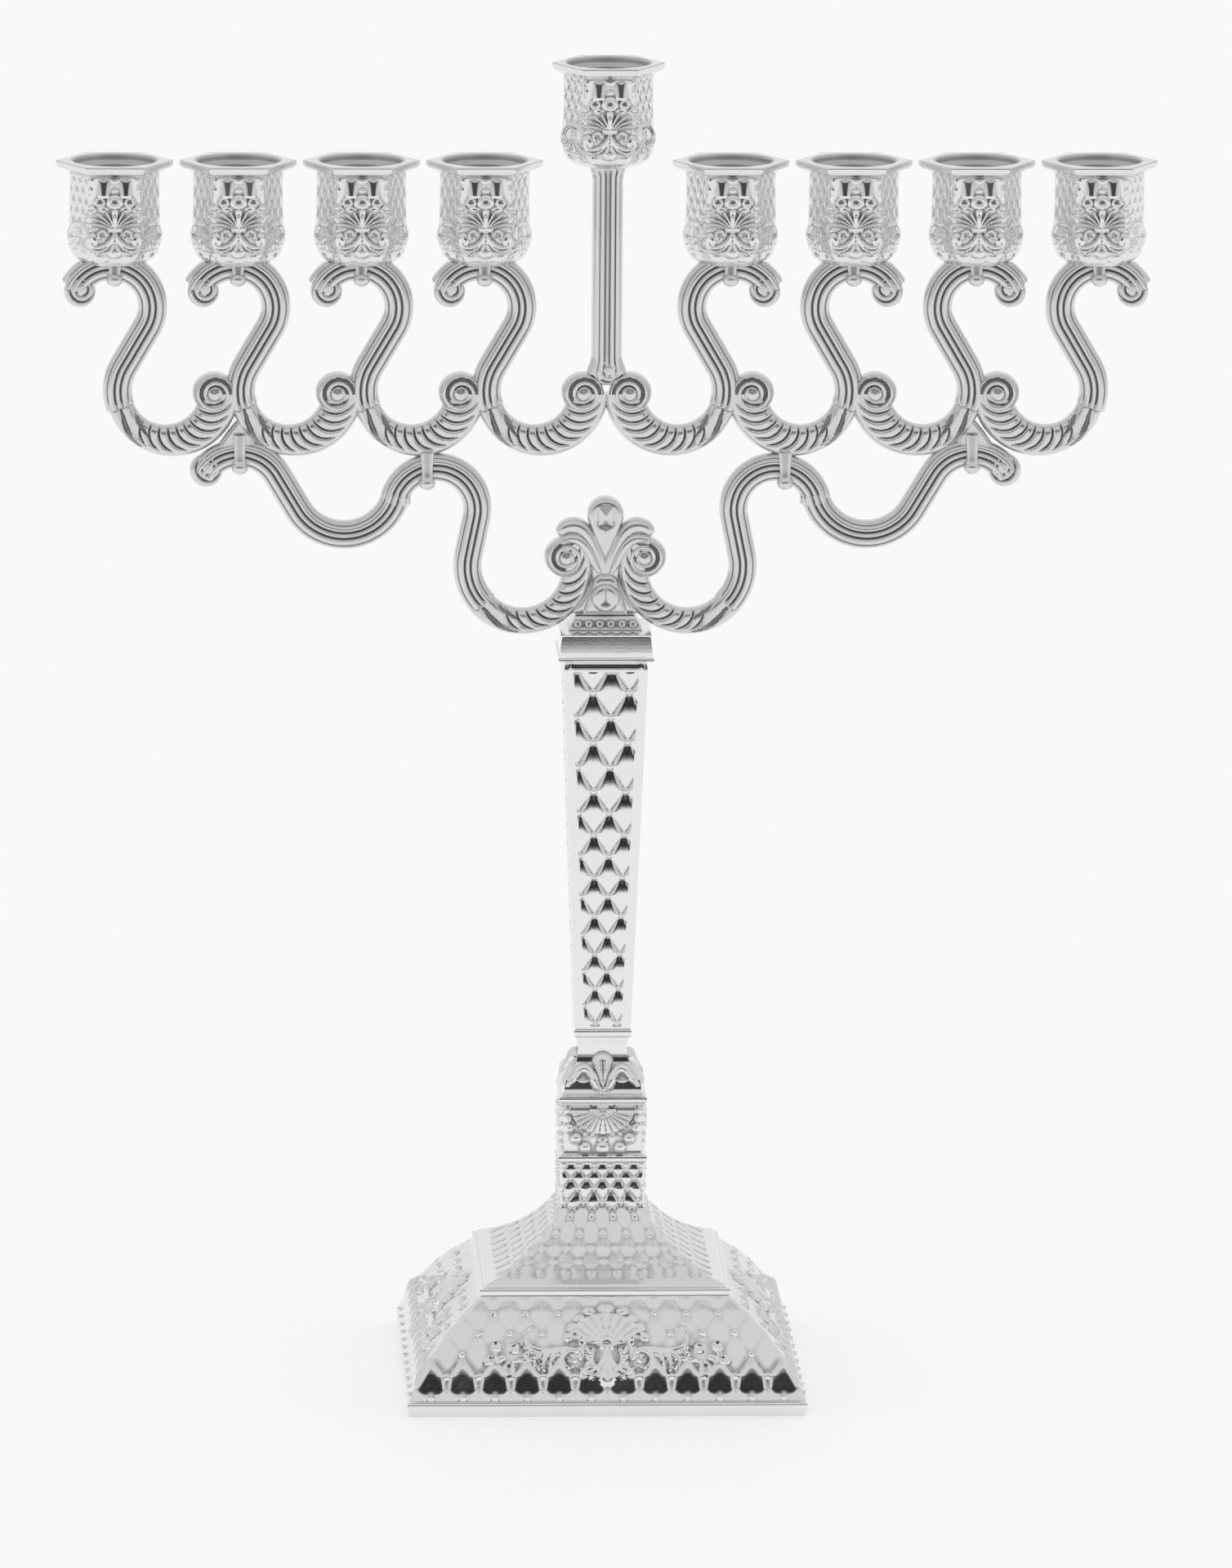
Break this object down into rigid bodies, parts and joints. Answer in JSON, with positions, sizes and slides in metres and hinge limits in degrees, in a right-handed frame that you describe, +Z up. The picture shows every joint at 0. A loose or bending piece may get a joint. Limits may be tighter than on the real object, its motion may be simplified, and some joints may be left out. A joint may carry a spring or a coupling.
{
  "type": "menorah",
  "caption": "Branched candelabrum on a stepped square base with a tapered column, scrolled arms and a row of six-sided candle cups beneath a raised middle cup.",
  "frame": {"origin": "middle of the plinth's underside, on the table", "axes": "+Z up the column, +X along the row of candles, +Y towards the back"},
  "size_m": [0.2922, 0.1066, 0.356],
  "materials": {
    "silver_plate": "silver-plated casting, polished, greyer in the hollows",
    "cup_silver": "silver-plated casting with fine relief, polished rim",
    "steel_fixings": "plain zinc-coated steel",
    "base_felt": "board faced with short felt"
  },
  "bodies": {
    "root": {"base_lower_tier": "silver_plate", "base_upper_tier": "silver_plate", "shell_block": "silver_plate", "fleur_pedestal": "silver_plate", "column_front_shell": "silver_plate", "column_rear_shell": "silver_plate", "column_cap": "silver_plate", "tie_rod": "steel_fixings", "tie_rod_washer": "steel_fixings", "tie_rod_nut": "steel_fixings", "base_pad": "base_felt", "fleur_bracket": "silver_plate", "bracket_pin": "steel_fixings", "lower_arm_inner_left": "silver_plate", "lower_arm_inner_right": "silver_plate", "lower_arm_outer_left": "silver_plate", "lower_arm_outer_right": "silver_plate", "shamash_stem": "silver_plate", "shamash_cup": "cup_silver", "shamash_screw": "steel_fixings", "branch_clip_1": "silver_plate", "branch_clip_2": "silver_plate", "branch_clip_3": "silver_plate", "branch_clip_4": "silver_plate", "candle_arm_1": "silver_plate", "candle_arm_2": "silver_plate", "candle_arm_3": "silver_plate", "candle_arm_4": "silver_plate", "candle_arm_5": "silver_plate", "candle_arm_6": "silver_plate", "candle_arm_7": "silver_plate", "candle_arm_8": "silver_plate", "candle_cup_1": "cup_silver", "candle_cup_2": "cup_silver", "candle_cup_3": "cup_silver", "candle_cup_4": "cup_silver", "candle_cup_5": "cup_silver", "candle_cup_6": "cup_silver", "candle_cup_7": "cup_silver", "candle_cup_8": "cup_silver", "cup_clip_1": "silver_plate", "cup_clip_2": "silver_plate", "cup_clip_3": "silver_plate", "cup_clip_4": "silver_plate", "cup_clip_5": "silver_plate", "cup_clip_6": "silver_plate", "cup_clip_7": "silver_plate", "cup_clip_8": "silver_plate", "cup_screw_1": "steel_fixings", "cup_screw_2": "steel_fixings", "cup_screw_3": "steel_fixings", "cup_screw_4": "steel_fixings", "cup_screw_5": "steel_fixings", "cup_screw_6": "steel_fixings", "cup_screw_7": "steel_fixings", "cup_screw_8": "steel_fixings"}
  },
  "joints": []
}
